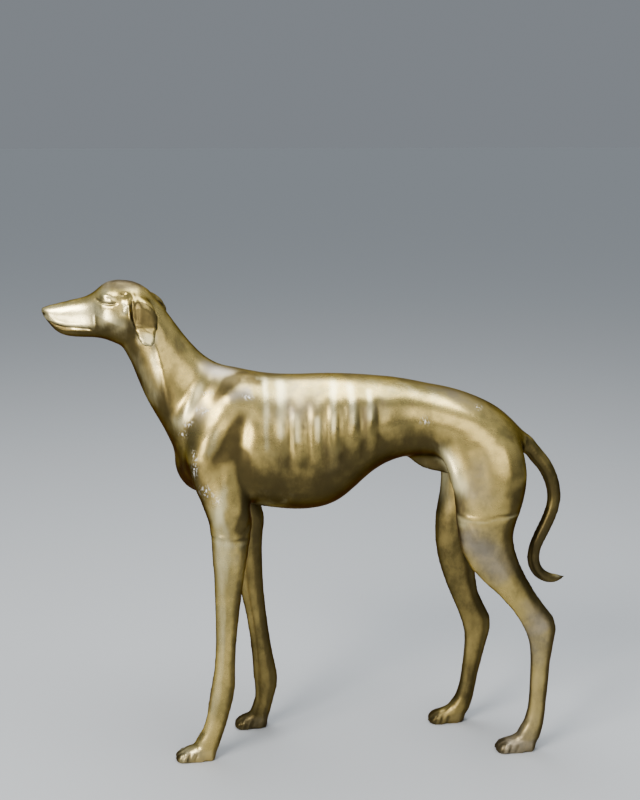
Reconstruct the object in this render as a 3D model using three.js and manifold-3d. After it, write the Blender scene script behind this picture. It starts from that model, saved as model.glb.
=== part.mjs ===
// A standing greyhound, cast in brass as one piece. It faces -X, with its left side towards -Y.
// The figure is drawn in shares of its own height: one share is a hundredth of it.
import * as THREE from "three";
import { mergeVertices } from "three/addons/utils/BufferGeometryUtils.js";
import Module from "manifold-3d";

// Driving dimensions, in millimetres.
const height = 700; // soles to the crown of the skull
const chestWidth = 151; // across the barrel of the ribs
const stance = 100; // between the middles of the left and right paws
const tailThickness = 28; // across the root of the tail

const share = height / 100;
const chestHalf = chestWidth / 2 / share;
const stanceHalf = stance / 2 / share;
const tailHalf = tailThickness / 2 / share;

const wasm = await Module();
wasm.setup();

// Solids: a closed mesh with its shared corners merged becomes a solid, turned to face out.
function solidOf(geometry) {
  const bare = new THREE.BufferGeometry();
  bare.setAttribute("position", geometry.getAttribute("position"));
  bare.setIndex(geometry.getIndex());
  const merged = mergeVertices(bare, 1e-4);
  const corners = new Uint32Array(merged.index.array);
  const made = () =>
    new wasm.Manifold(
      new wasm.Mesh({
        numProp: 3,
        vertProperties: merged.attributes.position.array,
        triVerts: corners,
      }),
    );
  if (made().volume() < 0)
    for (let i = 0; i < corners.length; i += 3)
      [corners[i + 1], corners[i + 2]] = [corners[i + 2], corners[i + 1]];
  return made();
}

// A loft through sections. Each section is drawn in the side view by its front and back ends. It also has
// its half width, its middle's place across the body, how much its back end is wider, and its squareness.
function section(front, back, half, middle = 0, taper = 0, square = 2) {
  return { front, back, half, middle, taper, square };
}

function loft(sections, around, rings, relief = () => 0) {
  const curve = (pick) =>
    new THREE.CatmullRomCurve3(sections.map((s) => new THREE.Vector3(...pick(s))));
  const fronts = curve((s) => [s.front[0], s.half, s.front[1]]);
  const backs = curve((s) => [s.back[0], s.middle, s.back[1]]);
  const shapes = curve((s) => [s.taper, s.square, 0]);
  const points = [];
  const addPoint = (x, y, z) => points.push(x * share, y * share, z * share);
  for (let i = 0; i <= rings; i++) {
    const front = fronts.getPoint(i / rings);
    const back = backs.getPoint(i / rings);
    const shape = shapes.getPoint(i / rings);
    for (let j = 0; j < around; j++) {
      const turn = (2 * Math.PI * j) / around;
      const power = (v) => Math.sign(v) * Math.abs(v) ** (2 / shape.y);
      const along = power(Math.sin(turn));
      const across = power(Math.cos(turn)) * (1 + shape.x * along);
      const x = (front.x + back.x) / 2 + ((back.x - front.x) / 2) * along;
      const z = (front.z + back.z) / 2 + ((back.z - front.z) / 2) * along;
      const y = back.y + front.y * across;
      addPoint(x, y + Math.sign(y) * Math.abs(across) * relief(x, z), z);
    }
  }
  const triangles = [];
  for (let i = 0; i < rings; i++)
    for (let j = 0; j < around; j++) {
      const a = i * around + j;
      const b = i * around + ((j + 1) % around);
      triangles.push(a, b, a + around, b, b + around, a + around);
    }
  for (const [ring, turned] of [[0, true], [rings, false]]) {
    const end = ring ? sections.at(-1) : sections[0];
    const centre = points.length / 3;
    addPoint((end.front[0] + end.back[0]) / 2, end.middle, (end.front[1] + end.back[1]) / 2);
    for (let j = 0; j < around; j++) {
      const a = ring * around + j;
      const b = ring * around + ((j + 1) % around);
      triangles.push(centre, turned ? b : a, turned ? a : b);
    }
  }
  const geometry = new THREE.BufferGeometry();
  geometry.setAttribute("position", new THREE.Float32BufferAttribute(points, 3));
  geometry.setIndex(triangles);
  return solidOf(geometry);
}

// A round rod along a line in the side view, from centres with their radii.
function rod(centres, middle, around, rings) {
  const line = new THREE.CatmullRomCurve3(centres.map(([x, z]) => new THREE.Vector3(x, 0, z)));
  const sections = centres.map(([x, z, radius], i) => {
    const way = line.getTangent(i / (centres.length - 1));
    const front = [x - way.z * radius, z + way.x * radius];
    const back = [x + way.z * radius, z - way.x * radius];
    return section(front, back, radius, middle);
  });
  return loft(sections, around, rings);
}

// An egg-shaped lump: its middle, its three half sizes, and its turns about the Y and Z axes in degrees.
function lump(middle, halves, turnY = 0, turnZ = 0, around = 12, rings = 7) {
  const geometry = new THREE.SphereGeometry(share, around, rings);
  geometry.rotateX(Math.PI / 2);
  geometry.scale(...halves);
  geometry.rotateY(THREE.MathUtils.degToRad(turnY));
  geometry.rotateZ(THREE.MathUtils.degToRad(turnZ));
  geometry.translate(...middle.map((v) => v * share));
  return solidOf(geometry);
}

// Relief: a stroke raises or sinks the surface along a line in the side view.
function stroke(line, reach, rise) {
  return (x, z) => {
    let nearest = Infinity;
    for (let i = 1; i < line.length; i++) {
      const [ax, az] = line[i - 1];
      const [bx, bz] = line[i];
      const length = (bx - ax) ** 2 + (bz - az) ** 2;
      const t = THREE.MathUtils.clamp(((x - ax) * (bx - ax) + (z - az) * (bz - az)) / length, 0, 1);
      nearest = Math.min(nearest, Math.hypot(x - ax - t * (bx - ax), z - az - t * (bz - az)));
    }
    return rise * Math.exp(-((nearest / reach) ** 2));
  };
}

// The ribs that show: each starts under the back and slants to the rear, and they draw closer at the loin.
const ribs = [];
const ribCount = 9;
for (let i = 0; i < ribCount; i++) {
  const top = -11.7 + 4.0 * i - 0.085 * i * i;
  const low = 66.4 - 5.4 * Math.sin((Math.PI * (i + 1)) / (ribCount + 1.5)) + 0.55 * i;
  ribs.push(stroke([[top, 78], [top + 0.7, 72], [top + 1.8, low]], 1.1, 0.34));
}
const barrel = (x, z) => ribs.reduce((sum, rib) => sum + rib(x, z), 0);

// Trunk, from the breast to the rump. The lower end of each section comes first.
const trunk = loft(
  [
    section([-28.1, 64.4], [-25.2, 73.0], 2.2),
    section([-27.9, 61.2], [-24.2, 77.2], chestHalf * 0.5),
    section([-26.0, 57.8], [-21.2, 80.6], chestHalf * 0.74),
    section([-22.6, 55.8], [-17.4, 82.4], chestHalf * 0.85, 0, 0, 2.1),
    section([-17.6, 54.6], [-14.0, 81.8], chestHalf * 0.92, 0, -0.02, 2.1),
    section([-12.6, 53.7], [-11.2, 81.1], chestHalf * 0.97, 0, -0.03, 2.15),
    section([-7.1, 52.8], [-7.1, 80.6], chestHalf, 0, -0.03, 2.15),
    section([-2.1, 52.5], [-2.1, 80.5], chestHalf, 0, -0.03, 2.15),
    section([2.1, 53.0], [2.1, 80.6], chestHalf * 0.98, 0, -0.02, 2.15),
    section([5.6, 54.5], [6.0, 80.5], chestHalf * 0.94, 0, 0, 2.15),
    section([8.9, 57.3], [9.5, 80.3], chestHalf * 0.88, 0, 0, 2.15),
    section([12.1, 60.2], [13.2, 80.0], chestHalf * 0.8, 0, 0, 2.15),
    section([15.5, 62.2], [17.0, 79.6], chestHalf * 0.72, 0, 0, 2.15),
    section([19.0, 63.2], [20.9, 78.9], chestHalf * 0.67, 0, 0, 2.15),
    section([22.7, 63.5], [24.7, 78.1], chestHalf * 0.68, 0, 0, 2.15),
    section([27.1, 62.7], [28.6, 77.25], chestHalf * 0.74, 0, 0, 2.1),
    section([32.1, 60.9], [32.9, 75.8], chestHalf * 0.79),
    section([37.2, 59.9], [37.7, 73.5], chestHalf * 0.74),
    section([41.0, 61.4], [41.3, 70.5], chestHalf * 0.58),
    section([43.0, 63.9], [43.4, 68.2], chestHalf * 0.3),
  ],
  28,
  44,
  barrel,
);

// Neck, from inside the breast to inside the skull. The throat comes first.
const neck = loft(
  [
    section([-24.6, 60.4], [-10.4, 79.4], 7.6),
    section([-26.8, 62.6], [-13.9, 81.0], 7.3, 0, -0.05),
    section([-28.3, 65.2], [-17.2, 82.3], 6.7, 0, -0.08),
    section([-29.6, 68.6], [-20.3, 83.9], 6.1, 0, -0.1),
    section([-31.5, 72.2], [-22.9, 85.9], 5.6, 0, -0.08),
    section([-33.4, 75.7], [-25.0, 88.2], 5.15, 0, -0.05),
    section([-34.9, 79.4], [-26.8, 90.6], 4.8),
    section([-36.2, 82.9], [-28.3, 92.8], 4.5),
    section([-37.4, 85.6], [-29.8, 94.9], 4.3),
    section([-38.7, 87.6], [-31.6, 96.6], 3.9),
  ],
  18,
  13,
);

// Head, from the back of the skull to the nose. The jaw comes first.
const head = loft(
  [
    section([-33.0, 86.6], [-30.4, 95.0], 3.0),
    section([-35.1, 85.9], [-32.3, 97.9], 4.4),
    section([-37.4, 86.4], [-35.0, 99.6], 5.0, 0, -0.05),
    section([-39.4, 87.4], [-37.9, 100.1], 5.0, 0, -0.08, 2.1),
    section([-41.4, 88.2], [-41.0, 99.5], 4.5, 0, -0.1, 2.2),
    section([-43.1, 88.5], [-43.1, 97.8], 3.6, 0, -0.12, 2.3),
    section([-45.1, 88.6], [-45.0, 96.75], 3.0, 0, -0.15, 2.4),
    section([-47.4, 88.7], [-47.4, 96.2], 2.55, 0, -0.15, 2.4),
    section([-49.7, 89.2], [-49.8, 95.6], 2.2, 0, -0.14, 2.4),
    section([-51.3, 90.3], [-51.7, 95.15], 1.8, 0, -0.1, 2.4),
    section([-52.4, 91.7], [-53.0, 94.8], 1.3, 0, 0, 2.3),
    section([-53.3, 92.9], [-53.79, 94.4], 0.7, 0, 0, 2.2),
  ],
  18,
  20,
);

// Legs: each is a loft from under the back to inside its paw. The middles of its sections are given for the
// drawn stance. Shin and pastern lean differently on each side, since the dog is mid-step.
const drawnStance = 7.14;
const shoulder = [
  [[-18.6, 78.9], [-12.1, 78.9], 1.0, 2.7],
  [[-21.4, 75.8], [-12.1, 75.3], 1.9, 6.1],
  [[-24.0, 71.4], [-13.1, 70.7], 2.6, 7.1],
  [[-25.3, 66.4], [-14.0, 65.7], 2.9, 7.5],
  [[-25.1, 62.1], [-13.7, 61.4], 3.1, 7.6],
  [[-23.7, 57.9], [-12.9, 57.1], 3.2, 7.6],
];
const leftFore = [
  ...shoulder,
  [[-21.6, 53.1], [-12.3, 52.6], 3.2, 7.6],
  [[-21.0, 49.3], [-12.8, 48.3], 2.9, 7.4],
  [[-20.8, 45.4], [-13.4, 44.6], 2.5, 7.3],
  [[-20.5, 41.0], [-14.0, 41.0], 2.2, 7.2],
  [[-20.4, 35.7], [-14.8, 35.7], 2.0, 7.14],
  [[-20.3, 30.0], [-15.5, 30.0], 1.86, 7.14],
  [[-20.4, 24.3], [-16.1, 24.3], 1.8, 7.14],
  [[-20.8, 19.3], [-16.3, 18.9], 1.85, 7.14],
  [[-21.5, 16.0], [-16.4, 15.0], 1.9, 7.14],
  [[-22.0, 13.1], [-17.1, 12.0], 1.75, 7.14],
  [[-22.4, 10.0], [-18.0, 8.6], 1.65, 7.14],
  [[-23.1, 7.2], [-18.9, 5.7], 1.75, 7.14],
  [[-24.7, 4.6], [-19.8, 3.0], 1.9, 7.14],
  [[-25.6, 2.6], [-20.6, 1.0], 1.6, 7.14],
];
const rightFore = [
  ...shoulder,
  [[-19.5, 53.1], [-10.9, 52.6], 3.1, 7.6],
  [[-17.8, 49.3], [-9.7, 48.8], 2.8, 7.4],
  [[-17.0, 45.6], [-10.0, 45.4], 2.5, 7.3],
  [[-16.5, 41.4], [-10.3, 41.4], 2.2, 7.2],
  [[-15.7, 35.7], [-10.2, 35.7], 2.0, 7.14],
  [[-14.9, 30.0], [-9.9, 30.0], 1.86, 7.14],
  [[-13.8, 24.9], [-9.3, 24.5], 1.8, 7.14],
  [[-13.2, 20.0], [-8.6, 19.3], 1.85, 7.14],
  [[-12.9, 16.7], [-7.9, 15.3], 1.9, 7.14],
  [[-12.7, 13.4], [-7.2, 12.1], 1.75, 7.14],
  [[-12.5, 10.3], [-7.3, 9.6], 1.65, 7.14],
  [[-12.2, 7.6], [-8.0, 6.9], 1.7, 7.14],
  [[-12.9, 4.9], [-8.7, 4.0], 1.85, 7.14],
  [[-13.9, 2.6], [-9.6, 1.2], 1.6, 7.14],
];
const leftHind = [
  [[29.5, 73.4], [37.0, 71.6], 2.1, 4.5, 0.1],
  [[26.8, 70.8], [40.4, 69.0], 2.9, 5.3, 0.3],
  [[24.9, 67.7], [42.4, 66.4], 3.4, 5.7, 0.5],
  [[24.8, 64.4], [43.4, 63.6], 3.9, 6.1, 0.5],
  [[27.2, 60.4], [43.5, 60.2], 4.0, 6.8, 0.4],
  [[28.4, 56.0], [43.0, 56.2], 4.1, 7.0, 0.25],
  [[28.7, 51.9], [42.1, 52.5], 3.9, 7.1, 0.2],
  [[29.3, 47.8], [41.1, 49.8], 3.5, 7.2, 0.15],
  [[30.8, 43.0], [40.9, 46.8], 3.0, 7.2],
  [[33.5, 39.2], [41.6, 43.9], 2.6, 7.2],
  [[36.5, 36.4], [42.9, 40.7], 2.25, 7.2],
  [[39.7, 33.2], [44.9, 37.0], 2.0, 7.2],
  [[42.1, 30.2], [47.0, 33.6], 1.9, 7.2],
  [[43.6, 27.5], [49.3, 30.7], 1.95, 7.2],
  [[44.7, 25.0], [50.5, 28.8], 1.95, 7.2],
  [[45.1, 22.5], [50.2, 24.9], 1.85, 7.2],
  [[45.3, 19.7], [49.6, 21.0], 1.75, 7.2],
  [[45.3, 16.4], [49.4, 16.9], 1.7, 7.2],
  [[45.3, 12.9], [49.1, 12.6], 1.7, 7.2],
  [[45.1, 9.7], [48.9, 8.8], 1.7, 7.2],
  [[44.5, 7.0], [48.6, 5.7], 1.75, 7.2],
  [[43.2, 4.6], [48.0, 3.0], 1.9, 7.2],
  [[42.3, 2.6], [46.9, 1.0], 1.6, 7.2],
];
const rightHind = [
  ...leftHind.slice(0, 4),
  [[27.2, 60.2], [42.1, 60.7], 4.0, 6.8, 0.4],
  [[27.8, 55.7], [41.0, 56.4], 4.0, 7.1, 0.25],
  [[27.2, 51.6], [39.4, 52.4], 3.9, 7.2, 0.2],
  [[26.7, 47.6], [37.4, 49.0], 3.5, 7.2, 0.15],
  [[26.8, 43.6], [35.6, 45.4], 3.0, 7.2],
  [[27.1, 40.2], [35.1, 42.0], 2.6, 7.2],
  [[27.9, 36.8], [35.5, 38.4], 2.3, 7.2],
  [[29.0, 33.4], [35.95, 35.2], 2.05, 7.2],
  [[30.4, 30.0], [36.2, 31.8], 1.95, 7.2],
  [[31.8, 26.8], [37.4, 28.3], 1.95, 7.2],
  [[32.9, 24.0], [39.1, 25.4], 1.95, 7.2],
  [[33.6, 21.4], [39.7, 22.9], 1.85, 7.2],
  [[33.8, 18.9], [38.8, 18.9], 1.75, 7.2],
  [[33.6, 15.3], [38.0, 15.3], 1.7, 7.2],
  [[33.3, 11.9], [37.2, 11.9], 1.7, 7.2],
  [[32.9, 8.8], [36.6, 8.4], 1.7, 7.2],
  [[32.2, 6.2], [36.1, 5.4], 1.75, 7.2],
  [[30.9, 4.3], [35.4, 2.9], 1.9, 7.2],
  [[29.7, 2.6], [34.2, 1.0], 1.6, 7.2],
];

// A paw, from the tips of its toes to its heel: an arched form with four toes. Its sole is the ground.
const pawProfile = [
  [0.05, 0.1, 1.0, 1.4],
  [0.7, -0.7, 1.85, 1.9],
  [1.7, -1.4, 2.5, 2.2],
  [3.0, -1.8, 2.95, 2.3],
  [4.6, -1.8, 3.6, 2.2],
  [6.2, -1.6, 4.6, 2.05],
  [7.6, -1.2, 4.6, 1.9],
  [8.4, 0.1, 3.2, 1.5],
];

function paw(tipX, length, middle) {
  const stretch = length / pawProfile.at(-1)[0];
  const sections = pawProfile.map(([x, low, top, half]) =>
    section([tipX + x * stretch, low], [tipX + x * stretch, top], half, middle),
  );
  let whole = loft(sections, 12, 8);
  for (const [back, across, turn] of [[2.4, -1.72, 9], [1.75, -0.6, 2], [1.75, 0.6, -2], [2.4, 1.72, -9]])
    whole = whole.add(lump([tipX + back, middle + across, 0.75], [2.0, 0.72, 1.42], -8, turn, 8, 5));
  return whole;
}

function leg(shape, side, rings, pawTip, pawLength) {
  const sections = shape.map(([front, back, half, middle, taper]) => {
    const low = THREE.MathUtils.clamp((60 - front[1]) / 20, 0, 1);
    return section(front, back, half, side * (middle + (stanceHalf - drawnStance) * low), taper);
  });
  const foot = paw(pawTip, pawLength, side * stanceHalf);
  return loft(sections, 12, rings).add(foot);
}

// Ears: leaves that hang from the skull, bent outwards near their tips. The right one hangs further back.
function ear(side) {
  const setBack = side > 0 ? 1.2 : 0;
  const leaf = [
    [[-36.5, 98.0], [-32.9, 96.9], 1.2, 3.0],
    [[-36.1, 96.8], [-31.2, 95.4], 1.5, 4.2],
    [[-35.7, 95.1], [-30.4, 93.7], 1.2, 5.1],
    [[-35.4, 93.1], [-30.2, 91.9], 0.8, 5.9],
    [[-35.2, 91.3], [-30.4, 90.4], 0.6, 6.3],
    [[-34.6, 89.6], [-30.7, 88.8], 0.55, 6.9],
    [[-33.6, 88.1], [-31.4, 87.7], 0.45, 7.4],
  ];
  const sections = leaf.map(([front, back, half, middle]) =>
    section([front[0] + setBack, front[1]], [back[0] + setBack, back[1]], half, side * middle),
  );
  return loft(sections, 10, 8);
}

// The mouth: a thin slit sunk into each side of the muzzle, following its taper.
function mouthSlit(side) {
  const line = new THREE.SplineCurve([
    new THREE.Vector2(-53.2, 92.0), new THREE.Vector2(-51.8, 91.2), new THREE.Vector2(-49.5, 90.6),
    new THREE.Vector2(-46.5, 90.5), new THREE.Vector2(-43.4, 90.4),
  ]).getPoints(10);
  const gape = 0.22;
  const outline = new THREE.Shape([
    ...line.map((p) => new THREE.Vector2(p.x * share, (p.y + gape) * share)),
    ...line.reverse().map((p) => new THREE.Vector2(p.x * share, (p.y - gape) * share)),
  ]);
  const blade = new THREE.ExtrudeGeometry(outline, { depth: 4 * share, bevelEnabled: false });
  blade.rotateX(Math.PI / 2);
  const taper = Math.atan2(3.3 - 1.0, 53.0 - 43.4);
  const hinge = [-43.4 * share, side * 3.0 * share, 0];
  blade.translate(0, side > 0 ? 7 * share : -3.0 * share, 0);
  blade.translate(-hinge[0], -hinge[1], 0);
  blade.rotateZ(side * taper);
  blade.translate(hinge[0], hinge[1], 0);
  return solidOf(blade);
}

// Tail: it drops from the rump in an S and ends in an upturned hook. Each radius is a share of the root's.
const tailLine = [
  [41.5, 67.6, 1.0], [43.9, 65.7, 0.98], [45.9, 63.5, 0.88], [48.2, 60.9, 0.82], [49.8, 57.9, 0.77],
  [50.6, 54.9, 0.74], [50.6, 52.2, 0.72], [49.7, 49.0, 0.71], [48.2, 45.6, 0.7], [47.0, 42.5, 0.67],
  [46.8, 39.8, 0.68], [47.7, 37.5, 0.66], [49.4, 36.1, 0.6], [51.3, 35.65, 0.5], [52.8, 35.9, 0.3],
  [53.75, 36.25, 0.06],
];
const tail = rod(tailLine.map(([x, z, width]) => [x, z, width * tailHalf]), 0, 10, 26);

// Sheath: a short tapered form that lies under the loin.
const sheath = loft(
  [
    section([19.4, 63.3], [20.2, 62.2], 0.5),
    section([21.5, 63.2], [21.9, 60.8], 1.2),
    section([24.2, 62.9], [24.4, 59.9], 1.7),
    section([27.2, 62.6], [27.2, 59.4], 2.0),
    section([30.2, 62.4], [30.2, 59.2], 2.0),
  ],
  8,
  6,
);

const solids = [
  trunk,
  neck,
  head,
  tail,
  sheath,
  leg(leftFore, -1, 21, -29.0, 8.3),
  leg(rightFore, 1, 21, -16.8, 7.2),
  leg(leftHind, -1, 23, 38.5, 8.4),
  leg(rightHind, 1, 23, 26.1, 8.0),
];
for (const side of [-1, 1]) {
  solids.push(ear(side));
  solids.push(lump([-40.1, side * 3.7, 96.7], [1.8, 0.85, 1.0], 10, side * 16, 8, 5));
}
const ground = new THREE.BoxGeometry(height * 2, height, height / 2);
ground.translate(0, 0, -height / 4);
const slits = mouthSlit(-1).add(mouthSlit(1));
const cast = solids
  .reduce((sum, s) => sum.add(s))
  .subtract(slits)
  .subtract(solidOf(ground));

const mesh = cast.getMesh();
const figure = new THREE.BufferGeometry();
figure.setAttribute("position", new THREE.BufferAttribute(new Float32Array(mesh.vertProperties), 3));
figure.setIndex(new THREE.BufferAttribute(new Uint32Array(mesh.triVerts), 1));

const brass = new THREE.MeshStandardMaterial({ color: 0x8f7340, roughness: 0.38, metalness: 1 });
const greyhound = new THREE.Mesh(figure, brass);
greyhound.name = "greyhound";
greyhound.geometry.computeVertexNormals();

const part = new THREE.Group();
part.add(greyhound);

export default part;
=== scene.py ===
# A standing greyhound in aged brass: its finished surface, its patina and the studio around it.
import math

import bmesh
import bpy
import numpy as np
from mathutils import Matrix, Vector


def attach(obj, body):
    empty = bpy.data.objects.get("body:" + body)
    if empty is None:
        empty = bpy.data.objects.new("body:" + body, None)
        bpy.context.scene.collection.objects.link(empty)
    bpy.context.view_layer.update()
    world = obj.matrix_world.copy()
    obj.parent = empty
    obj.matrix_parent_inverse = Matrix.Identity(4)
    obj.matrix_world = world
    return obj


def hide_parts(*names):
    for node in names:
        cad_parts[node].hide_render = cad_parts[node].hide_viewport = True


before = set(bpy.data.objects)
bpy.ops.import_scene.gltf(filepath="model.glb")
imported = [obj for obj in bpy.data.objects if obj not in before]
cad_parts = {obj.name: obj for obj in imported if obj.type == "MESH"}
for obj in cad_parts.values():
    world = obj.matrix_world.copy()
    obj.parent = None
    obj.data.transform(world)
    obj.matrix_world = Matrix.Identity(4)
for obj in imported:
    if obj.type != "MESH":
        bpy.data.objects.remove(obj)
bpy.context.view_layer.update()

MM = 0.001
WELD_REACH = 0.01 * MM
SKIN_CELL = 3.5 * MM

# The dog's sides, as a stroke asks for them; ROUND is the whole way round it.
LEFT, RIGHT = -1, 1
BOTH = (LEFT, RIGHT)
ROUND = ()

# The paws in the side view: where each begins, how long it is and how deep its toes are cut.
PAWS = ((-203, 58, 1.3), (-117, 50, 1.3), (269, 59, 0.8), (183, 56, 0.8))
TOE_SHARES = (0.13, 0.29, 0.46)
TOE_GAPS = (-8, 0, 8)

# How softly each region is rounded, at most 1, and in how many rounds.
TRUNK_SOFT, LEG_SOFT, HEAD_SOFT, PAW_SOFT = 0.85, 0.16, 0.6, 0.22
THIN_SOFT, EAR_TIP_SOFT, MOST_SOFT = 0.09, 0.3, 0.9
SKIN_ROUNDS, FOLD_ROUNDS, EYELID_ROUNDS = 22, 44, 74
CARVED_SOFT, CARVED_ROUNDS = 0.25, 2

# Ribs in the side view: where each stands out and where the hollow behind it lies.
RIBS = ((-53.5, -37), (-25, -11), (3, 15), (26, 38), (52, 66), (78, 91))

# Where the legs were welded on, round the left thigh and foreleg and then the right ones.
THIGH_SEAM = ((190, 377), (205, 369), (224, 365), (239, 368), (260, 369), (277, 370), (294, 370))
FORE_SEAM = ((-147, 347), (-132, 345), (-120, 344), (-112, 338), (-86, 339))
RIGHT_THIGH_SEAM = ((190, 352), (210, 346), (232, 343), (252, 346))
RIGHT_FORE_SEAM = ((-124, 336), (-104, 329), (-84, 326))

# The hollows round the top of each shoulder blade and behind each upper arm, where shade is painted.
BLADE_ARC = ((-143, 524), (-135, 541), (-122, 557), (-104, 567), (-85, 567), (-66, 555))
ARM_HOLLOW = ((-97, 530), (-106, 502), (-116, 476), (-126, 452))

# The slit of the closed eye, the mouth and the front of the ear's root.
EYE_SLIT = ((-298, 675), (-292, 672.5), (-283, 670.5), (-275, 670), (-266, 672))
MOUTH = ((-364, 644), (-354, 639), (-340, 636), (-320, 635), (-305, 634))
EAR_FRONT = ((-258, 679), (-255, 668), (-256, 656))

# Pale drips on the ribs, each with its half width.
DRIPS = (
    ([(-67, 575), (-67, 520), (-66, 462)], 5.0),
    ([(-46, 575), (-46, 530), (-47, 480)], 7.5),
    ([(-26, 525), (-25, 478)], 6.0),
    ([(4, 520), (4, 478)], 5.0),
    ([(30, 572), (26, 540), (25, 490)], 6.0),
    ([(50, 560), (53, 530), (56, 500)], 5.5),
    ([(76, 552), (78, 530), (79, 506)], 5.0),
)

# The metal's tones; the pale also colours painted highlights, the umber also painted shade.
GOLD = (0.58, 0.43, 0.135, 1)
OLIVE = (0.20, 0.16, 0.055, 1)
BROWN = (0.13, 0.085, 0.035, 1)
UMBER_AND_SHADE = (0.046, 0.034, 0.014, 1)
GREY = (0.25, 0.23, 0.22, 1)
PALE_AND_HIGHLIGHT = (0.93, 0.82, 0.45, 1)
CHALK = (0.85, 0.85, 0.80, 1)
EDGE = (0.35, 0.28, 0.19, 1)
BUMP_STRENGTH, BUMP_DEPTH = 0.25, 0.6 * MM

# The studio's tones, at the horizon, overhead and on the floor, and how far the floor reaches.
LOW_AIR = (0.215, 0.235, 0.26, 1)
HIGH_AIR = (0.56, 0.61, 0.66, 1)
FLOOR_TONE = (0.38, 0.39, 0.40, 1)
FLOOR_REACH = 30.0

# The lamps: place, what each is turned towards, width and height, power and colour.
PANELS = {
    "key": ((-1.5, -1.8, 2.3), (0, 0, 0.4), (1.1, 0.9), 95, (1.0, 0.97, 0.92)),
    "top": ((0.2, 0.1, 2.4), (0, 0, 0.4), (2.4, 1.0), 75, (0.95, 0.98, 1.0)),
    "low_left": ((-1.6, -2.2, 0.6), (0, 0, 0.3), (0.5, 0.9), 34, (1.0, 0.96, 0.9)),
    "front": ((0.7, -2.8, 1.4), (0.05, 0, 0.4), (2.2, 1.6), 28, (1.0, 0.98, 0.95)),
}

# The camera, fitted to the outline: film width and focal length in millimetres, angles in degrees.
FILM_WIDTH, FOCAL_LENGTH = 36, 58.5
CAMERA_PLACE = (-0.0968, -1.8047, 0.931)
CAMERA_DOWN, CAMERA_TURN = 12.64, -3.43

# Chalky flecks on the left side, each with its middle and half its size.
FLECKS = (
    ((-172, 505), (6.0, 3.0)),
    ((-181, 490), (5.0, 4.0)),
    ((-156, 524), (8.0, 3.0)),
    ((-150, 545), (6.0, 2.0)),
    ((-168, 463), (3.0, 9.0)),
    ((-165, 442), (3.0, 7.0)),
    ((-150, 415), (6.0, 7.0)),
    ((-140, 405), (5.0, 5.0)),
    ((38, 574), (9.0, 3.0)),
    ((158, 503), (6.0, 4.0)),
    ((236, 519), (5.0, 4.0)),
    ((248, 529), (3.0, 3.0)),
    ((-94, 545), (6.0, 2.5)),
)


# The casting's skin

def cast_copy():
    """The solid's surface in one even net of small faces, as an object of its own."""
    shape = bmesh.new()
    shape.from_mesh(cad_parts["greyhound"].data)
    bmesh.ops.remove_doubles(shape, verts=shape.verts, dist=WELD_REACH)
    mesh = bpy.data.meshes.new("greyhound_skin")
    shape.to_mesh(mesh)
    shape.free()
    skin = bpy.data.objects.new("greyhound_skin", mesh)
    bpy.context.scene.collection.objects.link(skin)
    net = skin.modifiers.new("even_net", "REMESH")
    net.mode = "VOXEL"
    net.voxel_size = SKIN_CELL
    net.use_smooth_shade = True
    bpy.context.view_layer.update()
    evaluated = skin.evaluated_get(bpy.context.evaluated_depsgraph_get())
    even = bpy.data.meshes.new_from_object(evaluated)
    skin.modifiers.clear()
    skin.data = even
    return skin


def divide_faces(skin, chosen):
    """Splits the faces whose middles are chosen into quarters, for finer carving there."""
    shape = bmesh.new()
    shape.from_mesh(skin.data)
    faces = [f for f in shape.faces if chosen(f.calc_center_median() / MM)]
    edges = list({e for f in faces for e in f.edges})
    bmesh.ops.subdivide_edges(shape, edges=edges, cuts=1, use_grid_fill=True, smooth=0.0)
    bmesh.ops.triangulate(shape, faces=[f for f in shape.faces if len(f.verts) > 4])
    shape.to_mesh(skin.data)
    shape.free()


class Surface:
    """The skin's points as arrays, in millimetres, with the ways to soften and carve them."""

    def __init__(self, mesh):
        self.mesh = mesh
        self.count = len(mesh.vertices)
        flat = np.empty(self.count * 3)
        mesh.vertices.foreach_get("co", flat)
        self.points = flat.reshape(-1, 3) / MM
        ends = np.empty(len(mesh.edges) * 2, dtype=np.int64)
        mesh.edges.foreach_get("vertices", ends)
        self.a, self.b = ends.reshape(-1, 2).T
        self.neighbours = np.bincount(np.concatenate([self.a, self.b]), minlength=self.count)

    def averaged(self, values):
        """Each point's mean over the points it shares an edge with."""
        total = np.empty_like(values)
        for k in range(values.shape[1]):
            total[:, k] = np.bincount(self.a, values[self.b, k], self.count)
            total[:, k] += np.bincount(self.b, values[self.a, k], self.count)
        return total / self.neighbours[:, None]

    def blurred(self, values, rounds, weight):
        """Values drawn towards their neighbours' mean, by each point's weight, so many times."""
        for _ in range(rounds):
            values = values + weight[:, None] * (self.averaged(values) - values)
        return values

    def soften(self, rounds, weight):
        """Smooths the points, then gives back the bulk that plain smoothing takes away."""
        smooth = self.blurred(self.points, rounds, weight)
        self.points = smooth + self.blurred(self.points - smooth, rounds, weight)

    def normals(self):
        """Which way each point faces, once the mesh has the points."""
        self.write()
        flat = np.empty(self.count * 3)
        self.mesh.vertices.foreach_get("normal", flat)
        return flat.reshape(-1, 3)

    def write(self):
        self.mesh.vertices.foreach_set("co", (self.points * MM).ravel())
        self.mesh.update()


def ease(t):
    """0 below 0, 1 above 1, eased between."""
    t = np.clip(t, 0, 1)
    return t * t * (3 - 2 * t)


def band(value, low, high, edge):
    """1 between low and high, easing to 0 over edge outside them."""
    return ease((value - low) / edge + 1) * ease((high - value) / edge + 1)


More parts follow.
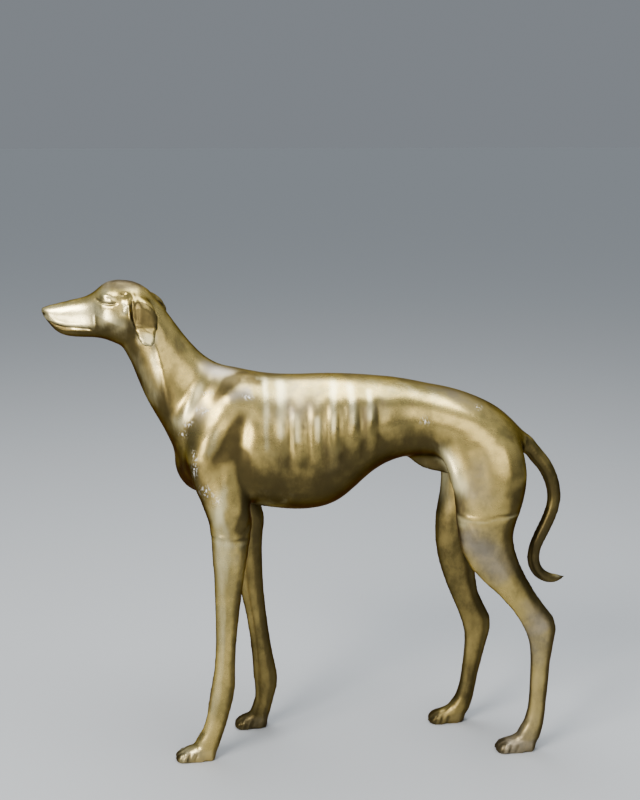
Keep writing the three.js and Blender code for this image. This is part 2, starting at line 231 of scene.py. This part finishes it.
class SideDrawing:
    """Lines and spots drawn in the side view in millimetres, as weights for the skin's points."""

    def __init__(self, surface):
        self.surface = surface
        self.normal = surface.normals()
        self.flat = surface.points[:, [0, 2]].copy()
        self.across = surface.points[:, 1].copy()

    def on_side(self, sides):
        """How much each point faces outwards on the given sides of the dog, or 1 all round."""
        if sides == ROUND:
            return np.ones(self.surface.count)
        weight = np.zeros(self.surface.count)
        for side in sides:
            weight += ease(self.normal[:, 1] * side * 1.8 + 0.1) * (self.across * side > 0)
        return weight

    def line(self, line, width, sides=BOTH, fade=0.2):
        """A soft line that fades out over a share of its length at both ends."""
        line = np.array(line, float)
        steps = np.linalg.norm(np.diff(line, axis=0), axis=1)
        starts = np.concatenate([[0], np.cumsum(steps)])
        nearest = np.full(self.surface.count, 1e9)
        share = np.zeros(self.surface.count)
        for i, step in enumerate(steps):
            way = (line[i + 1] - line[i]) / step
            along = np.clip((self.flat - line[i]) @ way, 0, step)
            distance = np.linalg.norm(self.flat - line[i] - along[:, None] * way, axis=1)
            closer = distance < nearest
            nearest[closer] = distance[closer]
            share[closer] = (starts[i] + along[closer]) / starts[-1]
        ends = ease((share + 0.04) / fade) * ease((1.04 - share) / fade)
        return np.exp(-((nearest / width) ** 2)) * ends * self.on_side(sides)

    def spot(self, middle, size, sides=BOTH, tilt=0.0):
        """A soft oval; tilt turns it, in degrees."""
        x = self.flat[:, 0] - middle[0]
        z = self.flat[:, 1] - middle[1]
        c, s = math.cos(math.radians(tilt)), math.sin(math.radians(tilt))
        u = (x * c + z * s) / size[0]
        v = (z * c - x * s) / size[1]
        return np.exp(-(u * u + v * v)) * self.on_side(sides)


def on_head_or_paw(p):
    return (p.x < -205 and p.z > 590) or p.z < 24


def on_eye(p):
    return abs(p.y) > 8 and -306 < p.x < -250 and 660 < p.z < 692


def on_mouth(p):
    return abs(p.y) > 8 and p.x < -292 and 626 < p.z < 646


skin = cast_copy()
for finer in (on_head_or_paw, on_eye, on_mouth):
    divide_faces(skin, finer)
surface = Surface(skin.data)
x, y, z = surface.points.T

# The trunk is rounded most; the head, legs, paws and, least of all, the ears and tail keep their form.
head_zone = ease((-x - 195) / 30) * ease((z - 590) / 30)
leg_zone = ease((370 - z) / 60)
tail_zone = (x > 312) * (np.abs(y) < 22)
ear_zone = (np.abs(y) > 37) * (z > 605) * (z < 672) * (x < -200)
soft = np.full(surface.count, TRUNK_SOFT)
soft = soft + (LEG_SOFT - soft) * leg_zone
soft = soft - 0.1 * band(z, 165, 225, 20) * (x > 200)
soft = soft + (HEAD_SOFT - soft) * head_zone
soft = np.where(ear_zone + tail_zone > 0, THIN_SOFT, soft)
soft = np.where(ear_zone * (z < 634) > 0, EAR_TIP_SOFT, soft)
soft = np.where(z < 34, np.minimum(soft, PAW_SOFT), soft) * ease((z - 2) / 3)
surface.soften(SKIN_ROUNDS, np.clip(soft, 0, MOST_SOFT))
x, y, z = surface.points.T

# The folds where thighs and shoulders leave the trunk and the ears leave the skull, and the closed
# eyes, are drawn out wider still.
folds = band(x, 165, 300, 25) * band(z, 445, 545, 25) + band(x, -190, -60, 20) * band(z, 470, 590, 20)
folds = folds + band(x, -262, -235, 8) * band(z, 672, 700, 8)
surface.soften(FOLD_ROUNDS, MOST_SOFT * np.clip(folds, 0, 1))
eyelids = band(x, -294, -264, 6) * band(z, 668, 688, 6) * (np.abs(y) > 12)
surface.soften(EYELID_ROUNDS, MOST_SOFT * np.clip(eyelids, 0, 1))

draw = SideDrawing(surface)
lift = np.zeros(surface.count)

# Ribs, with the hollows between them
for k, (ridge, hollow) in enumerate(RIBS):
    foot = 425 + 6 * k
    lift += 0.9 * draw.line([(ridge, 548), (ridge - 1, 490), (ridge + 2, foot)], 8, fade=0.35)
    lift -= 2.0 * draw.line([(hollow, 545), (hollow - 1, 490), (hollow + 2, foot)], 6.5, fade=0.35)

# Neck, collar, shoulder blade and upper arm
lift += 0.9 * draw.line([(-216, 616), (-209, 584), (-204, 540), (-199, 505)], 3.5)
lift += 1.7 * draw.line([(-146, 588), (-162, 554), (-174, 529), (-186, 501), (-193, 470)], 8, fade=0.4)
lift -= 0.9 * draw.line([(-158, 590), (-175, 554), (-188, 526), (-199, 494)], 8, fade=0.4)
lift -= 1.4 * draw.line([(-136, 536), (-130, 549), (-115, 563), (-97, 568), (-75, 564)], 7.5, fade=0.4)
lift += 1.2 * draw.line([(-122, 538), (-106, 548), (-86, 552)], 10)
lift += 1.9 * draw.line([(-112, 536), (-138, 500), (-155, 470), (-164, 440)], 16, fade=0.45)
lift -= 2.0 * draw.line([(-98, 530), (-108, 502), (-120, 474), (-132, 448)], 15, fade=0.4)
lift -= 1.9 * draw.line([(-92, 535), (-99, 490), (-102, 455), (-96, 430), (-82, 398)], 9, fade=0.35)
lift += 1.8 * draw.line([(-118, 450), (-127, 415), (-133, 360)], 11, fade=0.4)
lift -= 1.1 * draw.line([(-112, 445), (-112, 400), (-118, 360)], 8, fade=0.4)
lift += 1.3 * draw.line([(-100, 415), (-97, 385), (-104, 358)], 9, fade=0.4)
lift -= 1.5 * draw.line([(-83, 396), (-85, 374), (-96, 353), (-111, 343)], 3.0, fade=0.3)
lift -= 1.6 * draw.line([(-192, 463), (-190, 440), (-182, 416), (-171, 404), (-158, 388)], 4.5)
lift += 1.2 * draw.spot((-176, 450), (9, 26), tilt=-18)

# Flank, thigh, shin and hock
lift += 1.8 * draw.line([(172, 484), (182, 459), (196, 430), (205, 392)], 8, [LEFT])
lift += 1.6 * draw.line([(172, 482), (184, 450), (190, 410), (192, 370)], 8, [RIGHT])
lift -= 1.4 * draw.line([(222, 476), (232, 440), (240, 400)], 13)
lift += 1.4 * draw.line([(262, 480), (272, 440), (270, 400)], 13)
lift += 0.6 * draw.line(THIGH_SEAM, 2.4, [LEFT], 0.1)
lift -= 0.5 * draw.line([(a, b + 6) for a, b in THIGH_SEAM], 3.5, [LEFT], 0.1)
lift += 1.0 * draw.line(RIGHT_THIGH_SEAM, 2.6, [RIGHT], 0.1)
lift += 1.4 * draw.line([(214, 362), (244, 322), (272, 284), (290, 250), (312, 208)], 5, [LEFT])
lift += 1.0 * draw.line([(312, 208), (330, 210), (342, 204)], 4, [LEFT])
lift += 1.3 * draw.line([(204, 320), (222, 280), (240, 226), (250, 190)], 6, [RIGHT])
lift -= 1.2 * draw.line([(290, 300), (312, 262), (326, 226)], 6, [LEFT])
lift -= 1.1 * draw.line([(246, 250), (262, 214), (268, 190)], 5, [RIGHT])
lift -= 1.0 * draw.spot((326, 200), (7, 12), [LEFT])
lift += 0.8 * draw.line(FORE_SEAM, 2.4, [LEFT], 0.1)
lift -= 0.7 * draw.line([(a, b + 6) for a, b in FORE_SEAM], 3.5, [LEFT], 0.1)
lift += 0.9 * draw.line(RIGHT_FORE_SEAM, 2.6, [RIGHT], 0.1)

# Brow, eyelids, cheek, mouth and nostril
lift += 1.3 * draw.line([(-293, 680), (-280, 682), (-267, 680)], 5, fade=0.35)
lift -= 1.5 * draw.line(EYE_SLIT, 1.7)
lift += 0.5 * draw.line([(-292, 666), (-281, 664), (-270, 665)], 3)
lift -= 0.6 * draw.spot((-298, 676), (2.2, 2.4))
lift -= 0.5 * draw.line([(-299, 657), (-299, 644), (-297, 632)], 1.8)
lift += 0.9 * draw.spot((-276, 648), (16, 12))
lift -= 0.7 * draw.line([(-296, 630), (-276, 634), (-256, 646)], 4.5)
lift -= 1.9 * draw.line(MOUTH, 1.5, fade=0.1)
lift += 0.5 * draw.line([(-366, 650), (-352, 644), (-338, 641), (-310, 641)], 3.4)
lift += 0.6 * draw.line([(-356, 635), (-340, 632), (-310, 631.5)], 1.5)
nostril = np.exp(-(((x + 371) / 3.2) ** 2) - ((z - 654.5) / 2.3) ** 2 - ((np.abs(y) - 5.5) / 2.6) ** 2)
lift -= 1.8 * nostril

# Ears: root, rolled front rim and the fold above the bent tip
lift -= 1.6 * draw.spot((-259, 683), (4.5, 2.6))
lift += 1.2 * draw.line(EAR_FRONT, 3.6, fade=0.3)
lift += 1.1 * draw.line([(-250, 688), (-246, 680), (-247, 661), (-246, 645), (-242, 634)], 2.2)
lift -= 0.9 * draw.line([(-241, 680), (-241, 661), (-240, 646)], 3)
lift += 0.9 * draw.line([(-246, 642), (-234, 641), (-223, 635), (-217, 632)], 2.2)

# Toes: grooves up the sides of each paw and between the toes at its front
gaps = np.zeros(surface.count)
for tip, length, depth in PAWS:
    for share in TOE_SHARES:
        groove = [(tip + share * length, 1), (tip + (share + 0.1) * length, 15)]
        gaps += depth * draw.line(groove, 1.9, ROUND, 0.3)
    on_paw = (x > tip - 2) & (x < tip + length) & (z < 20)
    middle = (y[on_paw].min() + y[on_paw].max()) / 2
    for gap in TOE_GAPS:
        front = on_paw * ease((tip + 18 - x) / 8)
        gaps += 0.9 * depth * front * np.exp(-(((y - middle - gap) / 2.0) ** 2))
lift -= gaps

surface.points = surface.points + draw.normal * (lift * ease((z - 1) / 4))[:, None]
surface.soften(CARVED_ROUNDS, np.full(surface.count, CARVED_SOFT) * ease((z - 2) / 3))
surface.write()
skin.name = "greyhound_cast"


# Where the metal is stained, greyed and flecked, and where shade and highlights are painted on it

draw = SideDrawing(surface)
x, y, z = surface.points.T
pale_and_highlight = np.zeros(surface.count)
dark_and_shade = np.zeros(surface.count)
haze = np.zeros(surface.count)
fleck = np.zeros(surface.count)

# Drips down the ribs
for line, width in DRIPS:
    pale_and_highlight += 0.7 * draw.line(line, width, fade=0.2)
pale_and_highlight += 0.5 * draw.line([(-84, 569), (-40, 571)], 9)

# Everything else is drawn with a wandering hand.
draw.flat = draw.flat + np.stack([
    2.4 * np.sin(z / 13 + 1.3 * np.sin(y / 11)) + 0.9 * np.sin(z / 4.1 + x / 13),
    2.4 * np.sin(x / 15 + 1.7 * np.sin(y / 9)) + 0.9 * np.sin(x / 4.7 - z / 15),
], 1)

# How far the metal faces up, and back towards the tail, without its finest relief
gentle = np.full(surface.count, 0.8)
up = surface.blurred(draw.normal[:, 2:3], 6, gentle)[:, 0]
lean = surface.blurred(draw.normal[:, 0:1], 4, gentle)[:, 0]

# Painted highlights on ridges of the shoulders, thighs, back, forelegs, eyelid, ears, neck and tail
# tip; a pale muzzle and cheek; pale and dark edges along the welded seams
pale_and_highlight += 0.8 * draw.line([(-152, 575), (-170, 532), (-184, 509), (-190, 480)], 9, fade=0.4)
pale_and_highlight += 0.55 * draw.line([(-122, 520), (-141, 486), (-158, 455)], 8, fade=0.4)
pale_and_highlight += 0.9 * draw.line([(172, 478), (186, 455), (202, 425), (212, 388)], 12, [LEFT], 0.35)
pale_and_highlight += 0.5 * draw.line([(180, 460), (190, 420), (192, 370)], 9, [RIGHT])
pale_and_highlight += 0.4 * draw.line([(a, b - 3) for a, b in THIGH_SEAM], 3.0, [LEFT], 0.1)
dark_and_shade += 0.4 * draw.line([(a, b + 2) for a, b in THIGH_SEAM], 2.0, [LEFT], 0.1)
pale_and_highlight += 0.5 * draw.spot((212, 357), (12, 6), [LEFT], -20)
pale_and_highlight += 0.35 * draw.line([(40, 562), (115, 553), (170, 535), (218, 508)], 14, fade=0.3)
pale_and_highlight += 0.25 * draw.line([(-60, 556), (0, 560), (60, 556)], 16, fade=0.3)
pale_and_highlight += 0.6 * draw.line([(a, b - 2) for a, b in RIGHT_THIGH_SEAM], 3, [RIGHT], 0.1)
pale_and_highlight += 0.2 * draw.line([(a, b - 6) for a, b in FORE_SEAM], 5, [LEFT], 0.1)
pale_and_highlight += 0.3 * draw.spot((-122, 312), (20, 30), [LEFT])
dark_and_shade += 0.35 * draw.line([(-112, 352), (-100, 362), (-92, 376)], 9, [LEFT], 0.3)
dark_and_shade += 0.5 * draw.line([(a, b + 1) for a, b in FORE_SEAM], 2.2, [LEFT], 0.1)
pale_and_highlight += 0.7 * draw.line([(-121, 441), (-129, 405), (-135, 360)], 8, fade=0.4)
pale_and_highlight += 1.0 * draw.spot((-345, 654), (46, 17))
pale_and_highlight += 0.8 * draw.spot((-280, 681), (14, 7))
pale_and_highlight += 0.6 * draw.spot((-296, 656), (34, 18))
pale_and_highlight += 0.9 * draw.spot((-229, 622), (13, 9), tilt=-30)
pale_and_highlight += 0.8 * draw.line(EAR_FRONT, 4, fade=0.3)
pale_and_highlight += 0.6 * draw.spot((-216, 583), (7, 30), tilt=8)
pale_and_highlight += 0.5 * np.exp(-(((x - 368) / 12) ** 2)) * (z < 275) * (z > 235) * ease(up / 0.5)

# Painted shade, with painted highlights beside it
# Painted shade on what faces down and on the tail; on the lower legs, painted shade on the far side
# and on faces turned back or straight ahead, the near hind leg darker and greyer low down, and painted
# highlight strips on the near forelegs' front-left faces.
dark_and_shade += 0.65 * ease((0.1 - up) / 0.2) * ease((z - 330) / 80)
low = ease((430 - z) / 60)
dark_and_shade += low * (0.7 * (y > 10) + 0.8 * ease((lean - 0.1) / 0.5) + 0.6 * ease((-lean - 0.7) / 0.25))
hind = low * ease((366 - z) / 10) * (x > 180) * (y < 0)
dark_and_shade += 0.3 * hind
haze += 0.15 * hind + 0.3 * hind * ease((230 - z) / 40)
dark_and_shade += (0.6 * ease((-up - 0.05) / 0.4) + 0.4 * ease((-up - 0.5) / 0.3)) * (z > 330)
pale_and_highlight += 0.42 * low * (y < 0) * (x < 0) * band(lean, -0.5, -0.2, 0.3) * (draw.normal[:, 1] < 0)
dark_and_shade += 0.6 * (x > 308) * (np.abs(y) < 20) * ease((0.75 - up) / 0.3)
# Painted shade in the hollows round the shoulder blades and behind the upper arms, weaker on the
# right.
for side, strength in ((LEFT, 1.0), (RIGHT, 0.4)):
    dark_and_shade += 0.9 * strength * draw.line(ARM_HOLLOW, 11, [side], 0.3)
    dark_and_shade += 0.7 * strength * draw.line([(-106, 505), (-124, 478), (-146, 448)], 11, [side], 0.3)
    dark_and_shade += 0.5 * strength * draw.spot((-124, 460), (26, 22), [side], 25)
    dark_and_shade += 1.3 * strength * draw.line(BLADE_ARC, 7.5, [side], 0.25)
# Painted shade down the backs of the upper arms and forelegs, and a darker spot on the chest.
dark_and_shade += 0.8 * draw.line([(-99, 480), (-101, 455), (-94, 428), (-82, 398)], 8, fade=0.3)
dark_and_shade += 0.7 * draw.line([(-98, 440), (-97, 400), (-100, 368), (-110, 346)], 9, fade=0.3)
dark_and_shade += 0.3 * draw.spot((-170, 483), (9, 9))
# Painted shade in the hollows between the ribs.
for _, hollow in RIBS:
    dark_and_shade += 0.45 * draw.line([(hollow, 545), (hollow - 1, 490), (hollow + 2, 440)], 5.5, fade=0.3)
# Painted shade under the jaw, in the mouth, eye slit and ear root, and in the nostrils, where the pale
# is taken away.
jaw_shade = ease((633.5 + 0.35 * np.maximum(-330 - x, 0) - z) / 2.2) * ease((-282 - x) / 14) * (x < -282)
dark_and_shade += 1.6 * jaw_shade
pale_and_highlight -= 1.6 * jaw_shade
dark_and_shade += 1.0 * draw.line(MOUTH, 1.6, fade=0.1)
dark_and_shade += 0.9 * draw.line(EYE_SLIT, 1.9)
dark_and_shade += 0.9 * draw.spot((-259, 683), (4.5, 3))
dark_and_shade += 1.6 * nostril
pale_and_highlight -= 1.0 * nostril
# The cheek below the eye keeps half its pale and takes a little brown; a pale spot lies over it.
cheek = ease((x + 301) / 2.5) * ease((z - 622) / 4)
cheek = cheek * ease((657 - 0.45 * (x + 299) - z) / 3) * ease((-248 - x) / 35)
pale_and_highlight += 0.35 * draw.spot((-272, 640), (26, 18))
pale_and_highlight *= 1 - 0.5 * cheek
dark_and_shade += 0.06 * cheek * draw.on_side(BOTH)
# Painted shade down the back of the neck, a painted lighter strip down its front, and darker spots on
# the hind thigh, below the ear and on the chest.
dark_and_shade += 0.5 * draw.spot((-207, 540), (10, 34), tilt=-8)
dark_and_shade += 0.45 * draw.spot((290, 440), (24, 60))
pale_and_highlight += 0.35 * draw.line([(-256, 618), (-238, 570), (-216, 515)], 13, fade=0.3)
dark_and_shade += 0.35 * draw.spot((-243, 606), (9, 12))
dark_and_shade += 0.3 * draw.line([(-180, 600), (-196, 570), (-200, 530)], 8, fade=0.3)
dark_and_shade += 0.4 * draw.spot((-170, 450), (13, 40), tilt=-15)
# Painted shade in the gap between the belly and the sheath.
dark_and_shade += 1.2 * band(x, 130, 212, 6) * band(z, 410, 443, 4) * (np.abs(y) < 20)

# Grey haze on the back, flank and skull, and the tones of the skull, ears and paws
haze += 1.1 * draw.spot((-132, 578), (26, 12), tilt=-14)
haze += 0.6 * draw.spot((-160, 525), (14, 16))
haze += 0.65 * draw.spot((222, 532), (48, 16), tilt=-22)
haze += 0.7 * draw.line([(-122, 540), (-104, 548), (-84, 552)], 9)
haze += 0.6 * draw.spot((-20, 530), (34, 26))
haze += 0.5 * draw.spot((232, 425), (28, 55), tilt=10)
haze += 0.6 * draw.line([(205, 350), (238, 318), (262, 290), (280, 262)], 24)
haze += 0.5 * draw.line([(300, 245), (322, 212), (336, 190)], 16)
# A painted highlight strip on the right hind leg's inner thigh, where it faces the left.
inner = (y > 10) * (draw.normal[:, 1] < 0)
pale_and_highlight += 0.6 * inner * np.exp(-(((x - 199) / 9) ** 2) - ((z - 395) / 40) ** 2)
skull = ease((z - 684) / 10) * ease((-x - 195) / 20) * ease((x + 295) / 8)
haze += 0.6 * skull
dark_and_shade += 0.8 * skull * ease((x + 288) / 14)
ear = (np.abs(y) > 36) * ease((x + 252) / 5) * (x < -200) * (z > 605)
dark_and_shade += 0.95 * ear * ease((z - 636) / 5)
haze += 0.35 * ease((26 - z) / 12)
# Painted shade on the paws' forward faces and in their toe grooves.
dark_and_shade += 0.5 * ease((26 - z) / 10) * ease((-lean - 0.1) / 0.5) + 0.5 * np.clip(gaps, 0, 1)
haze += 0.3 * ease((up - 0.86) / 0.1) * (z > 470)

# Chalky flecks
for middle, size in FLECKS:
    fleck += draw.spot(middle, size, [LEFT])

marks_and_painted_light = np.clip(np.stack([pale_and_highlight, dark_and_shade, haze, fleck], 1), 0, 1)
layer = skin.data.color_attributes.new("marks_and_painted_light", "FLOAT_COLOR", "POINT")
layer.data.foreach_set("color", marks_and_painted_light.ravel())


# The aged brass

class Wire:
    """A shader socket with sums of its own, and a way to add nodes of any kind."""

    def __init__(self, tree, socket=None):
        self.tree = tree
        self.socket = socket

    def node(self, kind, settings, inputs, output=0):
        made = self.tree.nodes.new(kind)
        for name, value in settings.items():
            setattr(made, name, value)
        for name, value in inputs.items():
            if isinstance(value, Wire):
                self.tree.links.new(value.socket, made.inputs[name])
            else:
                made.inputs[name].default_value = value
        return Wire(self.tree, made.outputs[output])

    def math(self, operation, *values, clamp=False):
        settings = {"operation": operation, "use_clamp": clamp}
        return self.node("ShaderNodeMath", settings, dict(enumerate(values)))

    def __add__(self, other):
        return self.math("ADD", self, other)

    def __sub__(self, other):
        return self.math("SUBTRACT", self, other)

    def __rsub__(self, other):
        return self.math("SUBTRACT", other, self)

    def __mul__(self, other):
        return self.math("MULTIPLY", self, other)

    __radd__ = __add__

    def limited(self):
        return self.math("ADD", self, 0.0, clamp=True)

    def risen(self, low, high):
        """0 below low, 1 above high, eased between."""
        ends = {"Value": self, "From Min": low, "From Max": high, "To Min": 0.0, "To Max": 1.0}
        return self.node("ShaderNodeMapRange", {"interpolation_type": "SMOOTHSTEP"}, ends)

    def noise(self, stretch, scale, detail, roughness):
        """Noise on the object's own coordinates, stretched along its axes."""
        place = self.node("ShaderNodeVectorMath", {"operation": "MULTIPLY"}, {0: self, 1: stretch})
        inputs = {"Vector": place, "Scale": scale, "Detail": detail, "Roughness": roughness}
        return self.node("ShaderNodeTexNoise", {}, inputs)

    def toned(self, colour, amount):
        """This colour turned towards another."""
        return self.node("ShaderNodeMix", {"data_type": "RGBA"}, {0: amount, 6: self, 7: colour}, 2)


def aged_brass():
    """Polished and weathered brass: golden, greyed above, brown where shade is painted into its
    hollows and undersides, pale where highlights are painted and on its drips.
    """
    material = bpy.data.materials.new("aged_brass")
    material.use_nodes = True
    tree = material.node_tree
    shader = tree.nodes["Principled BSDF"]
    start = Wire(tree)
    place = start.node("ShaderNodeTexCoord", {}, {}, "Object")
    marks_and_painted_light = start.node("ShaderNodeAttribute", {"attribute_name": "marks_and_painted_light"}, {}, "Color")
    fleck = start.node("ShaderNodeAttribute", {"attribute_name": "marks_and_painted_light"}, {}, "Alpha")
    pale_and_highlight = start.node("ShaderNodeSeparateColor", {}, {"Color": marks_and_painted_light}, 0)
    dark_and_shade = start.node("ShaderNodeSeparateColor", {}, {"Color": marks_and_painted_light}, 1)
    haze = start.node("ShaderNodeSeparateColor", {}, {"Color": marks_and_painted_light}, 2)

    clouds = place.noise((1, 1, 1), 11.0, 6.0, 0.6)
    mottle = place.noise((1, 1, 0.7), 34.0, 5.0, 0.62)
    smears = place.noise((1.0, 1.0, 0.22), 60.0, 5.0, 0.6)
    wipes = place.noise((0.35, 1.0, 1.0), 90.0, 4.0, 0.6)
    grain = place.noise((1, 1, 1), 420.0, 3.0, 0.6)
    specks = place.noise((1.3, 1, 0.7), 330.0, 3.0, 0.6)

    olive = (clouds * 0.6 + mottle * 0.4).risen(0.42, 0.6)
    # Below, the marks' second channel brings in painted shade and brown marks, and the first brings in
    # painted highlights and pale drips.
    shade_and_brown = (dark_and_shade + (mottle - 0.5) * 0.7).risen(0.0, 1.05) * 0.92
    grey = (haze + (clouds - 0.5) * 1.3).risen(0.0, 1.1) * 0.7
    light = (pale_and_highlight + (smears - 0.5) * 0.9).risen(0.1, 1.1) * 0.75
    stains = (smears.risen(0.52, 0.7) * clouds.risen(0.45, 0.6) * 0.65).limited()
    chalk = (fleck * specks.risen(0.52, 0.6) * 0.9).limited()
    pits = (specks.risen(0.68, 0.74) * clouds.risen(0.5, 0.62) * 0.6).limited()

    gold = start.node("ShaderNodeRGB", {}, {})
    gold.socket.default_value = GOLD
    colour = gold.toned(OLIVE, olive * 0.75)
    colour = colour.toned(BROWN, stains)
    colour = colour.toned(GREY, grey)
    colour = colour.toned(UMBER_AND_SHADE, shade_and_brown)
    colour = colour.toned(PALE_AND_HIGHLIGHT, light)
    colour = colour.toned(UMBER_AND_SHADE, pits)
    colour = colour.toned(CHALK, chalk)

    rough = 0.17 + wipes * 0.12 + mottle * 0.08 + grey * 0.16
    rough = rough + shade_and_brown * 0.10 + stains * 0.10 + chalk * 0.4
    metal = (1.0 - grey * 0.22 - chalk * 0.9 - pits * 0.4).limited()
    height = grain * 0.3 + wipes * 0.5 + chalk * 1.5 - pits * 1.2
    bumps = {"Strength": BUMP_STRENGTH, "Distance": BUMP_DEPTH, "Height": height}
    bump = start.node("ShaderNodeBump", {}, bumps)
    shader.inputs["Specular Tint"].default_value = EDGE
    tree.links.new(colour.socket, shader.inputs["Base Color"])
    tree.links.new(rough.socket, shader.inputs["Roughness"])
    tree.links.new(metal.socket, shader.inputs["Metallic"])
    tree.links.new(bump.socket, shader.inputs["Normal"])
    return material


skin.data.materials.clear()
skin.data.materials.append(aged_brass())
for face in skin.data.polygons:
    face.use_smooth = True

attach(skin, "root")
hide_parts("greyhound")


# Floor, light and camera

def panel(name, location, target, size, power, colour):
    light = bpy.data.lights.new(name, "AREA")
    light.shape = "RECTANGLE"
    light.size, light.size_y = size
    light.energy = power
    light.color = colour
    lamp = bpy.data.objects.new(name, light)
    lamp.location = location
    lamp.rotation_euler = (Vector(target) - Vector(location)).to_track_quat("-Z", "Y").to_euler()
    bpy.context.scene.collection.objects.link(lamp)


floor_shape = bmesh.new()
bmesh.ops.create_grid(floor_shape, x_segments=1, y_segments=1, size=FLOOR_REACH)
floor_mesh = bpy.data.meshes.new("floor")
floor_shape.to_mesh(floor_mesh)
floor_shape.free()
floor = bpy.data.objects.new("floor", floor_mesh)
bpy.context.scene.collection.objects.link(floor)
floor_paint = bpy.data.materials.new("pale_floor")
floor_paint.use_nodes = True
floor_shader = floor_paint.node_tree.nodes["Principled BSDF"]
floor_shader.inputs["Base Color"].default_value = FLOOR_TONE
floor_shader.inputs["Roughness"].default_value = 0.8
floor.data.materials.append(floor_paint)

world = bpy.data.worlds.new("studio")
bpy.context.scene.world = world
world.use_nodes = True
background = world.node_tree.nodes["Background"]
air = Wire(world.node_tree)
heading = air.node("ShaderNodeTexCoord", {}, {}, "Generated")
height = air.node("ShaderNodeSeparateXYZ", {}, {"Vector": heading}, "Z")
low_air = air.node("ShaderNodeRGB", {}, {})
low_air.socket.default_value = LOW_AIR
sky = low_air.toned(HIGH_AIR, height.risen(0.08, 0.6))
world.node_tree.links.new(sky.socket, background.inputs["Color"])

for name, (location, target, size, power, colour) in PANELS.items():
    panel(name, location, target, size, power, colour)

lens = bpy.data.cameras.new("camera")
lens.sensor_width = FILM_WIDTH
lens.lens = FOCAL_LENGTH
camera = bpy.data.objects.new("camera", lens)
camera.location = CAMERA_PLACE
camera.rotation_euler = (math.radians(90 - CAMERA_DOWN), 0, math.radians(CAMERA_TURN))
bpy.context.scene.collection.objects.link(camera)
bpy.context.scene.camera = camera
